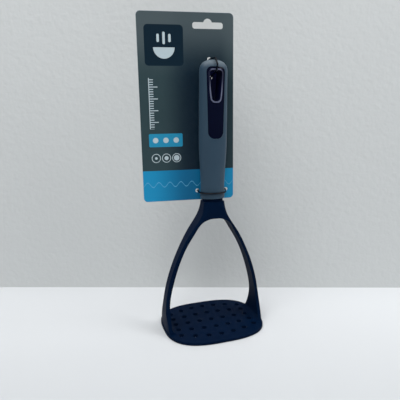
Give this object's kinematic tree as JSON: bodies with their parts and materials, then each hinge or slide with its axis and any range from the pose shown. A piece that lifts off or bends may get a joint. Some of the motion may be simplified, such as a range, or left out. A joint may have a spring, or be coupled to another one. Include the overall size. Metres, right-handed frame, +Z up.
{
  "type": "potato masher",
  "caption": "Hand masher: an oval perforated nylon plate on an arched neck, with a rounded soft-grip handle, a hanging hole and a plain retail hang card held by wire ties.",
  "frame": {"origin": "middle of the mashing plate's flat underside", "axes": "+Z runs up the handle, X runs along the arch from leg to leg, -Y is the front, the side away from the card"},
  "size_m": [0.1326, 0.0924, 0.3404],
  "materials": {
    "nylon": "smooth moulded black nylon with a faint blue cast and a soft satin sheen",
    "handle_core": "plain moulded hard plastic, hidden under the grip",
    "soft_grip": "soft-touch slate grey skin, matt with a broad dull sheen",
    "gloss_inlay": "glossy black plastic",
    "hole_trim": "pale grey-blue satin plastic",
    "card": "coated printed card, slate grey above and blue below",
    "tie": "black plastic-coated wire"
  },
  "bodies": {
    "root": {"masher_head": "nylon", "handle_core": "handle_core", "grip_sleeve": "soft_grip", "front_inlay": "gloss_inlay", "back_inlay": "gloss_inlay", "hole_sleeve": "hole_trim", "hang_card": "card", "lower_tie": "tie", "upper_tie": "tie"}
  },
  "joints": []
}
